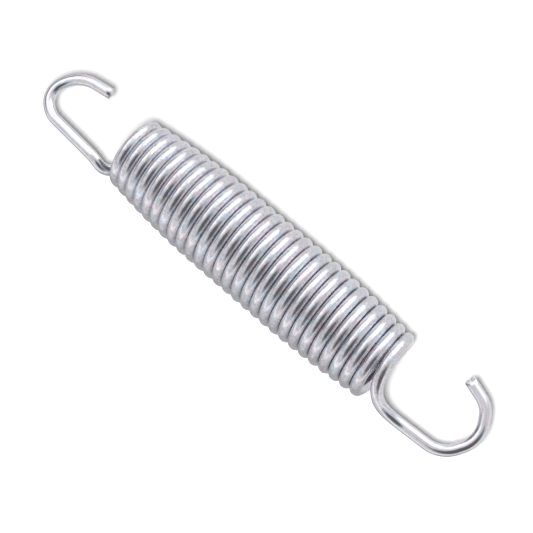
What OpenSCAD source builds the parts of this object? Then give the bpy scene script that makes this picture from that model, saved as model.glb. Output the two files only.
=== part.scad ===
// Extension spring, in millimetres.
// One length of round wire is wound close, turn against turn, into a coil that is
// fullest in the middle and narrows towards both ends. At each end the wire leaves
// the coil, runs on as a straight shank and bends round into an open hook.
// The spring lies on its side: X runs along the coil, Z is up, and the origin is on
// the resting surface below the middle of the whole spring. Both hooks lie level, with
// their shanks on the -Y side and their cut ends on the +Y side.

/* [Part] */
// Which piece to draw

/* [Wire] */
// Diameter of the wire
wire_d = 3.0; // [2.6:0.1:3.2]
// Clear space between one turn and the next
turn_gap = 0.04; // [0.02:0.01:0.2]

/* [Coil] */
// Whole turns (half a turn more brings both hooks to the same side)
whole_turns = 27; // [20:1:30]
// Outside diameter in the middle of the coil
mid_od = 23.2; // [22:0.2:26]
// Outside diameter of the coil at the left hook
left_od = 18.8; // [17:0.2:21]
// Outside diameter of the coil at the right hook
right_od = 19.8; // [17:0.2:21]
// Number of turns over which each end narrows
taper_turns = 10; // [6:1:10]

/* [Left hook] */
// Angle round the coil, past the last whole turn, where the wire starts to leave it
left_leave = 120; // [20:20:120]
// Straight shank between the coil and the hook
left_shank = 16.0; // [3:0.2:18]
// Slope of the shank towards the axis, in degrees
left_slope = 3.8; // [1:0.2:6]
// Radius of the first bend, to the middle of the wire
left_first_r = 6.4; // [5:0.1:12]
// Angle of the first bend
left_first_bend = 37; // [30:1:80]
// Radius of the middle bend, to the middle of the wire
left_middle_r = 5.0; // [5:0.1:12]
// Angle of the middle bend
left_middle_bend = 74; // [30:1:80]
// Radius of the last bend, to the middle of the wire
left_last_r = 9.5; // [5:0.1:12]
// Angle of the last bend
left_last_bend = 57; // [30:1:80]
// Straight piece between one bend and the next
left_flat = 0.3; // [0.1:0.1:3]
// Straight piece at the cut end
left_tail = 5.5; // [2:0.1:8]
// How far the cut's two faces slope back from its ridge
left_cut = 0.5; // [0.2:0.1:1.6]

/* [Right hook] */
// Angle round the coil, past the last whole turn, where the wire starts to leave it
right_leave = 40; // [20:20:100]
// Straight shank between the coil and the hook
right_shank = 6.0; // [3:0.2:18]
// Slope of the shank towards the axis, in degrees
right_slope = 3.4; // [1:0.2:6]
// Radius of the first bend, to the middle of the wire
right_first_r = 7.7; // [5:0.1:12]
// Angle of the first bend
right_first_bend = 55; // [30:1:80]
// Radius of the middle bend, to the middle of the wire
right_middle_r = 7.4; // [5:0.1:12]
// Angle of the middle bend
right_middle_bend = 62; // [30:1:80]
// Radius of the last bend, to the middle of the wire
right_last_r = 6.2; // [5:0.1:12]
// Angle of the last bend
right_last_bend = 42; // [30:1:80]
// Straight piece between one bend and the next
right_flat = 1.4; // [0.1:0.1:3]
// Straight piece at the cut end
right_tail = 5.0; // [2:0.1:8]
// How far the cut's two faces slope back from its ridge
right_cut = 1.2; // [0.2:0.1:1.6]

/* [Hidden] */
zinc = [0.76, 0.76, 0.79];
// Cross-sections in one turn of the coil, and corners in each cross-section
turn_steps = 18;
sides = 10;
// Cross-sections where the wire leaves the coil, and in each bend of a hook
leave_steps = 12;
bend_steps = 6;
// Corner radius that gives the cross-section the same area as the round wire
corner_r = wire_d / 2 * sqrt(2 * PI / (sides * sin(360 / sides)));
pitch = wire_d + turn_gap;
mid_r = (mid_od - wire_d) / 2;
left_r = (left_od - wire_d) / 2;
right_r = (right_od - wire_d) / 2;
// A flat of the many-sided coil is down, so this is the height of the axis
axis_h = (mid_r + corner_r) * cos(180 / turn_steps);

// Unit vector of a vector
function unit(v) = v / norm(v);

// How much of an end's narrowing is left, so many turns in from that end
function narrowing(turns_in) = pow(max(0, 1 - turns_in / taper_turns), 2);

// Radius of the wire's path after so many turns, counted from the left hook
function coil_r(turn) =
    mid_r
    - (mid_r - left_r) * narrowing(turn)
    - (mid_r - right_r) * narrowing(whole_turns - turn);

// Direction pointing away from the axis at an angle round the coil
function away(angle) = [0, cos(angle), sin(angle)];

// Angle round the coil of each cross-section of the wound part
coil_angles = [for (a = [-left_leave : 360 / turn_steps : 360 * whole_turns + right_leave]) a];

// Wound part: each entry is the middle of the wire and its direction away from the axis
coil = [for (a = coil_angles)
    let (turn = a / 360)
    [[(turn - whole_turns / 2) * pitch, 0, 0] + coil_r(turn) * away(a), away(a)]];

// Climb of the wire where it leaves the coil: slow at first, then fast until it runs
// along the axis
function climb(share, lead) = lead + (90 - lead) * share * share;

// Wire leaving the coil, from the last wound cross-section to the side the shank is on
function leaving(leave, start_r, slope) =
    let (
        lead = atan(pitch / (2 * PI * start_r)),
        round_sums = [for (i = 0, sum = 0; i <= leave_steps;
            sum = sum + cos(climb((i + 0.5) / leave_steps, lead)), i = i + 1) sum],
        along_sums = [for (i = 0, sum = 0; i <= leave_steps;
            sum = sum + sin(climb((i + 0.5) / leave_steps, lead)), i = i + 1) sum],
        step = start_r * (180 - leave) * PI / 180 / round_sums[leave_steps],
        start_x = (whole_turns / 2 + leave / 360) * pitch
    )
    [for (i = [1 : leave_steps])
        let (
            share = i / leave_steps,
            a = leave + (180 - leave) * round_sums[i] / round_sums[leave_steps],
            r = start_r - tan(slope) * step * leave_steps * pow(share, 3) / 3
        )
        [[start_x + step * along_sums[i], 0, 0] + r * away(a), away(a)]];

// Steps of one bend: each is a length to go and an angle to turn through
function bend(r, angle) =
    let (part = angle / bend_steps)
    [for (i = [1 : bend_steps]) [2 * r * sin(part / 2), part]];

// Steps of a whole hook: the shank, then three bends, each with a straight piece after it
function hook_steps(shank, first, middle, final, flat, tail) = concat(
    [[shank, 0]],
    bend(first[0], first[1]),
    [[flat, 0]],
    bend(middle[0], middle[1]),
    [[flat, 0]],
    bend(final[0], final[1]),
    [[tail, 0]]
);

// Places reached by taking the steps in turn: each is x, y and the heading there
function walk(steps, x, y, heading) =
    [for (i = 0, p = [x, y], h = heading; i <= len(steps);
        p = i < len(steps)
            ? p + steps[i][0] * [cos(h + steps[i][1] / 2), sin(h + steps[i][1] / 2)]
            : p,
        h = i < len(steps) ? h + steps[i][1] : h,
        i = i + 1)
        [p[0], p[1], h]];

// One end of the spring, from where the wire leaves the coil to the cut
function end_path(leave, start_r, slope, steps) =
    let (
        off = leaving(leave, start_r, slope),
        root = off[len(off) - 1][0],
        places = walk(steps, root[0], root[1], slope)
    )
    concat(off, [for (i = [1 : len(places) - 1])
        let (q = places[i])
        [[q[0], q[1], 0], [sin(q[2]), -cos(q[2]), 0]]]);

// Half a turn about the Y axis, which takes a right-hand end to the left
function swap_ends(v) = [-v[0], v[1], -v[2]];

// The list in the opposite order
function reversed(list) = [for (i = [len(list) - 1 : -1 : 0]) list[i]];

right_end = end_path(
    right_leave,
    coil_r(whole_turns + right_leave / 360),
    right_slope,
    hook_steps(
        right_shank,
        [right_first_r, right_first_bend],
        [right_middle_r, right_middle_bend],
        [right_last_r, right_last_bend],
        right_flat,
        right_tail
    )
);
left_end = [for (e = end_path(
    left_leave,
    coil_r(-left_leave / 360),
    left_slope,
    hook_steps(
        left_shank,
        [left_first_r, left_first_bend],
        [left_middle_r, left_middle_bend],
        [left_last_r, left_last_bend],
        left_flat,
        left_tail
    )
)) [swap_ends(e[0]), swap_ends(e[1])]];

// The whole wire, from the left cut to the right cut
path = concat(reversed(left_end), coil, right_end);
last = len(path) - 1;

// Direction of the wire at a cross-section, halfway between the pieces it joins
function along(i) = unit(
    (i > 0 ? unit(path[i][0] - path[i - 1][0]) : [0, 0, 0])
    + (i < last ? unit(path[i + 1][0] - path[i][0]) : [0, 0, 0])
);

// Corners of a cross-section; a cut slopes back from its ridge by the amount given
function section(i, cut) =
    let (
        t = along(i),
        out = unit(path[i][1] - (path[i][1] * t) * t),
        side = cross(t, out)
    )
    [for (j = [0 : sides - 1])
        let (a = 360 * j / sides)
        path[i][0] + corner_r * (cos(a) * out + sin(a) * side) + cut * abs(sin(a)) * t];

corners = [for (i = [0 : last])
    each section(i, i == 0 ? left_cut : i == last ? -right_cut : 0)];

// Number of one corner in the whole list
function corner(i, j) = i * sides + j % sides;

skin = concat(
    [for (i = [0 : last - 1], j = [0 : sides - 1])
        each [
            [corner(i, j), corner(i + 1, j), corner(i + 1, j + 1)],
            [corner(i, j), corner(i + 1, j + 1), corner(i, j + 1)]
        ]],
    // Each cut is two flat faces that meet in a ridge across the wire
    [for (j = [0, sides / 2]) [for (k = [0 : sides / 2]) corner(0, j + k)]],
    [for (j = [0, sides / 2]) [for (k = [sides / 2 : -1 : 0]) corner(last, j + k)]]
);

// Middle of the list of numbers' range
function middle(values) = (min(values) + max(values)) / 2;

// The spring's one piece of wire, with its middle over the origin
module spring() {
    color(zinc)
    translate([-middle([for (c = corners) c[0]]), -middle([for (c = corners) c[1]]), axis_h])
    polyhedron(points = corners, faces = skin, convexity = 10);
}

spring();
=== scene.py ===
# The dressed extension spring: the wire is swept again here with a smooth round section
# and a zinc-plated finish, and lies on pale paper in soft studio light.
import math

import bpy
import numpy as np
from mathutils import Matrix, Vector


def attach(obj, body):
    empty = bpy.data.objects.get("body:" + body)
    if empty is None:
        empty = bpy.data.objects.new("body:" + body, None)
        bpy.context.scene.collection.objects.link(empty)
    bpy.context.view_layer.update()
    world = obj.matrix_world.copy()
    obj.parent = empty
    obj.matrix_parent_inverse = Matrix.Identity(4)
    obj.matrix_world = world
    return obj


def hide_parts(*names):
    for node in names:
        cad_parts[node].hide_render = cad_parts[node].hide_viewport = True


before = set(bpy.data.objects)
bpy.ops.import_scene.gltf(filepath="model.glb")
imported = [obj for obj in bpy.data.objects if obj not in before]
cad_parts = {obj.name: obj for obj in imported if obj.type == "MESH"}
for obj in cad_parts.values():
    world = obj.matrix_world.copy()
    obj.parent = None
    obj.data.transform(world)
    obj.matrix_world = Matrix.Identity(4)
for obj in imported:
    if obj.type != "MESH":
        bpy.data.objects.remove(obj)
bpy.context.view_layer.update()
scene = bpy.context.scene
MM = 0.001

# The wire and the coil in millimetres, as in the source: the wire's diameter, the space between
# turns, the whole turns, the outside diameter in the middle and at each end, and the number of
# turns over which each end narrows
WIRE_D = 3.0
TURN_GAP = 0.04
WHOLE_TURNS = 27
MID_OD = 23.2
LEFT_OD = 18.8
RIGHT_OD = 19.8
TAPER_TURNS = 10
# Radii are to the middle of the wire
PITCH = WIRE_D + TURN_GAP
MID_R = (MID_OD - WIRE_D) / 2
LEFT_R = (LEFT_OD - WIRE_D) / 2
RIGHT_R = (RIGHT_OD - WIRE_D) / 2

# The two ends in millimetres and degrees: the angle round the coil where the wire starts to
# leave it, the straight shank and its slope, the radius and angle of each bend, the straight
# piece between bends, the straight piece at the cut, and how far the wire bulges towards +Y
# before the shank. All but the left end's leave, shank and bulge are as in the source: there
# the wire leaves the coil sooner and bulges outwards, and the shank is shorter to suit.
LEFT = dict(leave=80, shank=12.93, slope=3.8, bends=((6.4, 37), (5.0, 74), (9.5, 57)),
            flat=0.3, tail=5.5, bulge=-0.7)
RIGHT = dict(leave=40, shank=6.0, slope=3.4, bends=((7.7, 55), (7.4, 62), (6.2, 42)),
             flat=1.4, tail=5.0, bulge=0.0)
# The bulge's distance before the shank and its spread, along the wire
BULGE_BACK = 5.0
BULGE_SPREAD = 2.6

# The left cut leans back under the wire, with a slight lip on the inside of the bow: how far
# back it is at mid height, how much less that is at the top and more at the bottom, how far
# the lip stands out, and the lip's spread round the wire in radians
LEFT_CUT = 0.42
LEFT_LEAN = 0.37
LIP = 0.25
LIP_SPREAD = 0.7
# The right cut is pinched: how far its two faces slope back from their ridge
RIGHT_CUT = 1.2

# Corners in a cross-section, and steps in a turn, in the stretch that leaves the coil and in
# a bend
SIDES = 28
TURN_STEPS = 56
LEAVE_STEPS = 60
BEND_STEPS = 16
# Lengths of the shank's first stretch, which is stepped finely for the bulge, and of the
# tail's last step, which is longer than a cut is deep
SHANK_START = 4.0
LAST_STEP = 2.0

# The camera looks down on the coil, tilted from straight down about Y and then rolled in its
# own plane. Its place is measured from the coil's middle, along its axes before the roll, in
# wire diameters
TILT = math.radians(13.2)
ROLL = math.radians(40.47)
CAMERA_RIGHT = 1.18
CAMERA_DOWN = 0.08
CAMERA_BACK = 103.68
# The focal length and the picture's width in pixels, and the sensor's width in millimetres
FOCAL_PX = 1281.2
PICTURE_PX = 533
SENSOR = 36.0

# From here on, sizes and places are in metres
FLOOR_W = 3.0
# Brightness that the paper adds by itself, at so many metres from its middle
PAPER_LIFT = ((0.060, 0.06), (0.085, 0.13), (0.120, 0.38), (0.300, 0.75), (0.600, 0.90))
# How far the key is from the camera, along the camera's axes before the roll
KEY_LEFT = 0.005
KEY_DOWN = 0.0265
# The point that the panels face
AIM = Vector((0, 0, 0.011))
# Panels round the spring: name, lean in degrees from straight up towards +X and +Y, distance,
# width and height, brightness, and how much of the way in from the edge is soft
BOXES = (
    ("ceiling", (0, 0), 0.80, (10.0, 10.0), 0.70, 0.0),
    ("side_box", (-4, 59), 0.55, (0.98, 1.12), 2.25, 1.0),
    ("low_box", (-50, -83), 0.55, (2.22, 0.40), 1.22, 1.0),
    ("left_board", (-67, 3), 0.50, (0.33, 1.04), 0.20, 0.6),
    ("dark_board", (42, -17), 0.45, (0.78, 0.70), 0.02, 0.6),
    ("strip_box", (-35, 15), 0.50, (0.73, 0.86), 1.35, 0.59),
)
# Cards that lie just over the paper and show only in the wire's reflections: painted shade, the paper
# near the spring reflected darker than it is lit. Each has a name, middle, size, brightness and soft
# share
CARDS = (
    ("mat", (0, 0, 0.0008), (1.0, 0.9), 0.84, 0.3),
    ("low_card", (0, -0.12, 0.001), (0.80, 0.22), 0.70, 0.3),
    ("near_card", (0, -0.020, 0.0012), (0.28, 0.036), 0.48, 0.4),
    ("end_card", (-0.095, 0, 0.0014), (0.05, 0.08), 0.42, 0.4),
)


# The wire's path

def unit(v):
    """The vectors' directions, with length 1."""
    return v / np.linalg.norm(v, axis=-1, keepdims=True)


def away(deg):
    """The direction away from the axis at an angle round the coil."""
    a = math.radians(deg)
    return np.array([0.0, math.cos(a), math.sin(a)])


def distance_along(pts):
    """How far along the wire each point is."""
    return np.concatenate([[0], np.cumsum(np.linalg.norm(np.diff(pts, axis=0), axis=1))])


def narrowing(turns_in):
    """How much of an end's narrowing is left, so many turns in from that end."""
    return max(0.0, 1 - turns_in / TAPER_TURNS) ** 2


def coil_r(turn):
    """Radius of the wire's path after so many turns, counted from the left hook."""
    at_left = (MID_R - LEFT_R) * narrowing(turn)
    at_right = (MID_R - RIGHT_R) * narrowing(WHOLE_TURNS - turn)
    return MID_R - at_left - at_right


def leaving(leave, slope, start_r):
    """The wire off the coil: it climbs slowly at first, then fast, until it runs along X."""
    lead = math.atan(PITCH / (2 * math.pi * start_r))
    share = (np.arange(LEAVE_STEPS) + 0.5) / LEAVE_STEPS
    climb = lead + (math.pi / 2 - lead) * share ** 2
    round_sum = np.cumsum(np.cos(climb))
    along_sum = np.cumsum(np.sin(climb))
    step = start_r * math.radians(180 - leave) / round_sum[-1]
    start_x = (WHOLE_TURNS / 2 + leave / 360) * PITCH
    path = []
    for i in range(LEAVE_STEPS):
        out = away(leave + (180 - leave) * round_sum[i] / round_sum[-1])
        done = (i + 1) / LEAVE_STEPS
        r = start_r - math.tan(math.radians(slope)) * step * LEAVE_STEPS * done ** 3 / 3
        path.append((np.array([start_x + step * along_sum[i], 0, 0]) + r * out, out))
    return path


def end_path(leave, shank, slope, bends, flat, tail, bulge, start_r):
    """One end, as a right-hand one: each middle of the wire and its outward direction."""
    path = leaving(leave, slope, start_r)
    x, y, _ = path[-1][0]
    head = math.radians(slope)

    def go(step, turn, count):
        nonlocal x, y, head
        for _ in range(count):
            head += turn / 2
            x += step * math.cos(head)
            y += step * math.sin(head)
            head += turn / 2
            out = np.array([math.sin(head), -math.cos(head), 0.0])
            path.append((np.array([x, y, 0.0]), out))

    def straight(length, count):
        go(length / count, 0, count)

    straight(SHANK_START, count=10)
    straight(shank - SHANK_START, count=6)
    for k, (r, deg) in enumerate(bends):
        if k:
            straight(flat, count=1)
        part = math.radians(deg) / BEND_STEPS
        go(2 * r * math.sin(part / 2), part, BEND_STEPS)
    straight(tail - LAST_STEP, count=4)
    straight(LAST_STEP, count=1)

    mids = np.array([mid for mid, _ in path])
    along = distance_along(mids)
    from_bulge = along - along[LEAVE_STEPS - 1] + BULGE_BACK
    mids[:, 1] += bulge * np.exp(-(from_bulge / BULGE_SPREAD) ** 2)
    return [(mid, out) for mid, (_, out) in zip(mids, path)]


def wire_path():
    """The whole wire, from the left cut to the right, with the coil's middle at the origin."""
    right = end_path(**RIGHT, start_r=coil_r(WHOLE_TURNS + RIGHT["leave"] / 360))
    left = end_path(**LEFT, start_r=coil_r(-LEFT["leave"] / 360))
    # half a turn about the Y axis takes a right-hand end to the left
    swap = np.array([-1.0, 1.0, -1.0])
    left = [(mid * swap, out * swap) for mid, out in reversed(left)]
    total = 360 * WHOLE_TURNS + LEFT["leave"] + RIGHT["leave"]
    count = round(total * TURN_STEPS / 360)
    coil = []
    for i in range(count + 1):
        deg = -LEFT["leave"] + total * i / count
        turn = deg / 360
        out = away(deg)
        coil.append((np.array([(turn - WHOLE_TURNS / 2) * PITCH, 0, 0]) + coil_r(turn) * out, out))
    mids, outs = zip(*left, *coil, *right)
    return np.array(mids), np.array(outs)


def coil_middle(mids):
    """Where the coil's own middle goes, so that the wire is centred and the coil rests on Z 0."""
    low = mids.min(0)
    high = mids.max(0)
    return np.array([-(low[0] + high[0]) / 2, -(low[1] + high[1]) / 2, MID_R + WIRE_D / 2])


# The wire's mesh

def put(name, data):
    """A new object in the scene."""
    ob = bpy.data.objects.new(name, data)
    scene.collection.objects.link(ob)
    return ob


def sweep(name, mids, outs):
    """The wire as one mesh, with its skin in the first material slot and its cuts in the second."""
    ahead = unit(np.diff(mids, axis=0))
    along = unit(np.vstack([ahead[:1], ahead[:-1] + ahead[1:], ahead[-1:]]))
    outs = unit(outs - (outs * along).sum(1, keepdims=True) * along)
    sides = np.cross(along, outs)
    angle = np.arange(SIDES) * 2 * math.pi / SIDES
    spokes = np.cos(angle)[:, None] * outs[:, None] + np.sin(angle)[:, None] * sides[:, None]
    rings = mids[:, None] + WIRE_D / 2 * spokes

    # each end is cut back along the wire, by an amount that differs round it
    rise = spokes[0, :, 2]
    lip = LIP * np.exp(-((angle - math.pi) / LIP_SPREAD) ** 2)
    left_cut = LEFT_CUT - LEFT_LEAN * rise - lip
    right_cut = RIGHT_CUT * np.abs(np.sin(angle))
    rings[0] += left_cut[:, None] * along[0]
    rings[-1] -= right_cut[:, None] * along[-1]
    corners = rings.reshape(-1, 3)

    # the skin's faces, by the ring and the side of each of their four corners
    last = len(mids) - 1
    i, j = np.meshgrid(np.arange(last), np.arange(SIDES), indexing="ij")
    ring = np.stack([i, i, i + 1, i + 1], -1).reshape(-1, 4)
    side = np.stack([j, j + 1, j + 1, j], -1).reshape(-1, 4)
    skin = ring * SIDES + side % SIDES
    # each cut is two faces that meet across the wire
    half = SIDES // 2
    caps = []
    for start in (0, half):
        caps.append([(start + k) % SIDES for k in range(half, -1, -1)])
        caps.append([last * SIDES + (start + k) % SIDES for k in range(half + 1)])

    mesh = bpy.data.meshes.new(name)
    mesh.from_pydata((corners * MM).tolist(), [], skin.tolist() + caps)
    # on the skin, u runs along the wire and v round it; on the cuts they are Y and Z
    skin_uv = np.stack([distance_along(mids)[ring], math.pi * WIRE_D * side / SIDES], -1)
    caps_uv = [corners[cap, 1:] for cap in caps]
    uv = np.concatenate([skin_uv.reshape(-1, 2), *caps_uv]) * MM
    mesh.uv_layers.new(name="wire").data.foreach_set("uv", uv.ravel().astype(np.float32))
    is_cut = np.arange(len(mesh.polygons)) >= len(skin)
    mesh.polygons.foreach_set("use_smooth", ~is_cut)
    mesh.polygons.foreach_set("material_index", is_cut.astype(np.int32))
    mesh.update()
    return put(name, mesh)


# Materials

class Nodes:
    """Shorthand for building the nodes of a material or of the world."""

    def __init__(self, owner, output="ShaderNodeOutputMaterial"):
        self.owner = owner
        owner.use_nodes = True
        self.tree = owner.node_tree
        self.tree.nodes.clear()
        self.out = self.add(output)

    def add(self, kind, inputs=None, **props):
        """A node with its properties and inputs, each a value or another node's output."""
        node = self.tree.nodes.new(kind)
        for key, value in props.items():
            setattr(node, key, value)
        for key, value in (inputs or {}).items():
            if isinstance(value, bpy.types.NodeSocket):
                self.tree.links.new(value, node.inputs[key])
            else:
                node.inputs[key].default_value = value
        return node

    def surface(self, shader):
        """Makes this shader the one that is seen."""
        self.tree.links.new(shader.outputs[0], self.out.inputs["Surface"])

    def calc(self, operation, *values):
        return self.add("ShaderNodeMath", dict(enumerate(values)), operation=operation).outputs[0]

    def length(self, vector):
        node = self.add("ShaderNodeVectorMath", {0: vector}, operation="LENGTH")
        return node.outputs["Value"]

    def noise(self, vector, scale, detail, rough):
        inputs = {"Vector": vector, "Scale": scale, "Detail": detail, "Roughness": rough}
        return self.add("ShaderNodeTexNoise", inputs).outputs["Fac"]

    def scaled(self, vector, scale):
        return self.add("ShaderNodeMapping", {"Vector": vector, "Scale": scale}).outputs[0]

    def ramp(self, source, *stops):
        """A colour, or a grey where the stops have single values, by the source's value."""
        node = self.add("ShaderNodeValToRGB", {0: source})
        elements = node.color_ramp.elements
        while len(elements) < len(stops):
            elements.new(0.5)
        for element, (position, colour) in zip(elements, stops):
            element.position = position
            element.color = (*colour, 1) if isinstance(colour, tuple) else (colour,) * 3 + (1,)
        return node.outputs[0]

    def remap(self, source, low, high, **props):
        """The source's value remapped: low and high each hold a value and what it becomes."""
        inputs = {"Value": source, "From Min": low[0], "From Max": high[0],
                  "To Min": low[1], "To Max": high[1]}
        return self.add("ShaderNodeMapRange", inputs, **props).outputs[0]

    def bump(self, height, strength, distance, **inputs):
        inputs = {"Height": height, "Strength": strength, "Distance": distance, **inputs}
        return self.add("ShaderNodeBump", inputs).outputs[0]


def zinc_material():
    """Bright zinc plate, cloudy in colour, with grain, drawing lines and small dents."""
    n = Nodes(bpy.data.materials.new("zinc_plate"))
    coord = n.add("ShaderNodeTexCoord")
    place = coord.outputs["Object"]
    uv = coord.outputs["UV"]
    # faint clouds of the plate's sheen: blue-green, blue, grey, lilac and straw
    colour = n.ramp(
        n.noise(place, scale=430, detail=3, rough=0.62),
        (0.30, (0.705, 0.805, 0.79)),
        (0.42, (0.75, 0.775, 0.885)),
        (0.52, (0.785, 0.775, 0.80)),
        (0.62, (0.825, 0.752, 0.845)),
        (0.74, (0.79, 0.785, 0.72)),
    )
    # duller patches a few millimetres long, drawn out along the wire
    patches = n.noise(n.scaled(uv, (1, 3, 1)), scale=160, detail=4, rough=0.65)
    dull = n.ramp(patches, (0.35, 1.0), (0.72, 0.84))
    # the plate's own grain, and darker drawing lines along the wire
    grain = n.ramp(n.noise(place, scale=1500, detail=2, rough=0.7), (0.30, 0.80), (0.70, 1.14))
    lines = n.noise(n.scaled(uv, (0.05, 1, 1)), scale=5200, detail=3, rough=0.6)
    drawn = n.ramp(lines, (0.32, 0.90), (0.60, 1.02))
    # the coil is worn, and the hooks are cleaner and smoother, by the distance from the middle; the
    # cleaner hooks are lighter in colour too, which is painted light for the stronger light on them
    split = n.add("ShaderNodeSeparateXYZ", {0: place})
    wear_and_painted_light = n.ramp(n.calc("ABSOLUTE", split.outputs["X"]), (0.043, 1.0), (0.051, 0.45))
    # on the hooks these darkening layers are weaker, so the hooks' colour is lighter: partly cleaner
    # plate, partly painted light
    for layer in (dull, grain, drawn):
        # inputs 6 and 7 and output 2 are the node's colours
        mixed = {0: wear_and_painted_light, 6: colour, 7: layer}
        mix = n.add("ShaderNodeMix", mixed, data_type="RGBA", blend_type="MULTIPLY")
        colour = mix.outputs[2]
    clouds = n.noise(place, scale=420, detail=4, rough=0.6)
    rough = n.remap(n.calc("ADD", lines, clouds), low=(0.6, 0.12), high=(1.4, 0.27))
    dents = n.noise(n.scaled(uv, (1, 1.6, 1)), scale=420, detail=3, rough=0.6)
    fine = n.bump(lines, strength=0.10, distance=0.00004)
    n.surface(n.add("ShaderNodeBsdfPrincipled", {
        "Metallic": 0.92,
        "Base Color": colour,
        "Roughness": n.calc("MULTIPLY", rough, wear_and_painted_light),
        "Normal": n.bump(dents, strength=0.25, distance=0.00010, Normal=fine),
    }))
    return n.owner


def cut_material():
    """Bare steel, torn by the cutter."""
    n = Nodes(bpy.data.materials.new("cut_end"))
    place = n.add("ShaderNodeTexCoord").outputs["Object"]
    grain = n.noise(place, scale=1700, detail=4, rough=0.65)
    n.surface(n.add("ShaderNodeBsdfPrincipled", {
        "Metallic": 0.45,
        "Base Color": n.ramp(grain, (0.40, (0.34, 0.34, 0.36)), (0.55, (0.92, 0.92, 0.94))),
        "Roughness": n.ramp(grain, (0.3, 0.28), (0.7, 0.45)),
        "Normal": n.bump(grain, strength=0.8, distance=0.00012),
    }))
    return n.owner


def floor_material():
    """Pale paper that also shines a little, more towards its edges, where the key falls off."""
    n = Nodes(bpy.data.materials.new("floor"))
    paper = n.add("ShaderNodeBsdfDiffuse", {"Color": (0.93, 0.93, 0.93, 1)})
    rays = n.add("ShaderNodeLightPath").outputs
    in_sight = n.calc("MAXIMUM", rays["Is Camera Ray"], rays["Is Glossy Ray"])
    place = n.add("ShaderNodeTexCoord").outputs["Object"]
    lift = n.calc("MULTIPLY", in_sight, n.ramp(n.length(place), *PAPER_LIFT))
    shine = n.add("ShaderNodeEmission", {"Color": (1, 1, 1, 1), "Strength": lift})
    n.surface(n.add("ShaderNodeAddShader", {0: paper.outputs[0], 1: shine.outputs[0]}))
    return n.owner


def panel_material(name, half_w, half_h, level, soft):
    """A plain glow. A soft one is solid in the middle and clear round the panel's ellipse."""
    n = Nodes(bpy.data.materials.new(name))
    # seen in the wire itself, and not thrown on the floor by the wire
    rays = n.add("ShaderNodeLightPath").outputs
    strength = n.remap(rays["Diffuse Depth"], low=(0.0, level), high=(1.0, 0.0))
    shader = n.add("ShaderNodeEmission", {"Color": (1, 1, 1, 1), "Strength": strength})
    if soft:
        place = n.add("ShaderNodeTexCoord").outputs["Object"]
        far_out = n.length(n.scaled(place, (1 / half_w, 1 / half_h, 0)))
        fade = n.remap(far_out, low=(1.0, 0.0), high=(1.0 - soft, 1.0),
                       interpolation_type="SMOOTHSTEP")
        clear = n.add("ShaderNodeBsdfTransparent").outputs[0]
        shader = n.add("ShaderNodeMixShader", {0: fade, 1: clear, 2: shader.outputs[0]})
    n.surface(shader)
    # met by reflected rays and never sampled as a lamp, which keeps bright specks away
    n.owner.cycles.emission_sampling = "NONE"
    return n.owner


# Camera, floor and light

def axes(side, up, back):
    """The matrix of an object whose own X, Y and Z point these ways."""
    return Matrix((side, up, back)).transposed().to_4x4()


def camera(middle):
    """The camera. Gives its place and the two directions that the key's place is measured in."""
    right = Vector((math.cos(TILT), 0, -math.sin(TILT)))
    up = Vector((0, 1, 0))
    back = Vector((math.sin(TILT), 0, math.cos(TILT)))
    shift = CAMERA_RIGHT * right - CAMERA_DOWN * up + CAMERA_BACK * back
    place = (Vector(middle) + shift * WIRE_D) * MM
    data = bpy.data.cameras.new("camera")
    data.sensor_width = SENSOR
    data.lens = FOCAL_PX * SENSOR / PICTURE_PX
    data.clip_start = 0.01
    ob = put("camera", data)
    rolled_right = math.cos(ROLL) * right + math.sin(ROLL) * up
    rolled_up = -math.sin(ROLL) * right + math.cos(ROLL) * up
    ob.matrix_world = Matrix.Translation(place) @ axes(rolled_right, rolled_up, back)
    scene.camera = ob
    return place, right, up


def rectangle(name, half_w, half_h):
    """A level rectangle, centred on its own origin."""
    mesh = bpy.data.meshes.new(name)
    corners = [(-half_w, -half_h, 0), (half_w, -half_h, 0), (half_w, half_h, 0), (-half_w, half_h, 0)]
    mesh.from_pydata(corners, [], [(0, 1, 2, 3)])
    return put(name, mesh)


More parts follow.
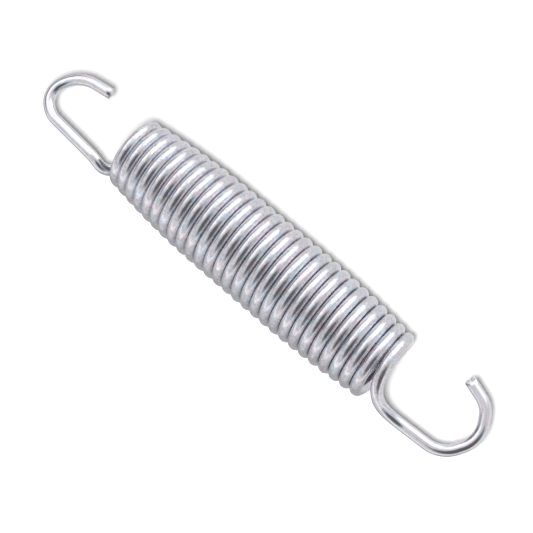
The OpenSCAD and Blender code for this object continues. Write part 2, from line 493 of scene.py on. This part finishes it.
def studio_world(seen, given):
    """White to the camera and in reflections, and a plainer light on the floor and the wire."""
    n = Nodes(bpy.data.worlds.new("studio"), "ShaderNodeOutputWorld")
    rays = n.add("ShaderNodeLightPath").outputs
    in_sight = n.calc("MAXIMUM", rays["Is Camera Ray"], rays["Is Glossy Ray"])
    in_sight = n.calc("MAXIMUM", in_sight, rays["Is Transmission Ray"])
    level = n.remap(in_sight, low=(0.0, given), high=(1.0, seen))
    n.surface(n.add("ShaderNodeBackground", {"Color": (0.985, 0.985, 1.0, 1), "Strength": level}))
    scene.world = n.owner


def key_light(place, size, watts):
    """A round soft light, seen by the floor and never in the wire."""
    data = bpy.data.lights.new("key", "AREA")
    data.shape = "DISK"
    data.size = size
    data.energy = watts
    # reflected rays that happen on the lamp would leave bright specks
    data.cycles.use_multiple_importance_sampling = False
    ob = put("key", data)
    ob.location = place
    ob.rotation_euler = place.to_track_quat("Z", "Y").to_euler()
    ob.visible_glossy = False


def direction(x_deg, y_deg):
    """A direction leaning so many degrees from straight up towards +X and +Y."""
    x, y = math.radians(x_deg), math.radians(y_deg)
    return Vector((math.sin(x) * math.cos(y), math.sin(y), math.cos(x) * math.cos(y)))


def panel(name, place, size, level, soft):
    """A panel that only reflections show: a soft box, a dark board, or a card of painted shade over
    the paper.
    """
    half_w, half_h = size[0] / 2, size[1] / 2
    ob = rectangle(name, half_w, half_h)
    ob.location = place
    ob.data.materials.append(panel_material(name, half_w, half_h, level, soft))
    ob.visible_camera = False
    ob.visible_diffuse = False
    ob.visible_shadow = False
    return ob


def box(name, lean, far, size, level, soft):
    """A panel round the spring, with its face to it and its own X along it."""
    ob = panel(name, direction(*lean) * far, size, level, soft)
    back = (ob.location - AIM).normalized()
    side = (Vector((1, 0, 0)) - back * back.x).normalized()
    ob.rotation_euler = axes(side, back.cross(side), back).to_euler()


path_mids, path_outs = wire_path()
middle = coil_middle(path_mids)
wire = sweep("spring_wire", path_mids + middle, path_outs)
wire.data.materials.append(zinc_material())
wire.data.materials.append(cut_material())
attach(wire, "root")
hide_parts("spring")

eye, right, up = camera(middle)
floor = rectangle("floor", FLOOR_W / 2, FLOOR_W / 2)
floor.data.materials.append(floor_material())
studio_world(seen=1.0, given=0.14)
# the key hangs just beside the camera, so that the shadow hugs the far side of the wire
key_light(eye - KEY_DOWN * up - KEY_LEFT * right, size=0.068, watts=1.38)
for row in BOXES:
    box(*row)
for row in CARDS:
    panel(*row)
scene.view_settings.view_transform = "Standard"
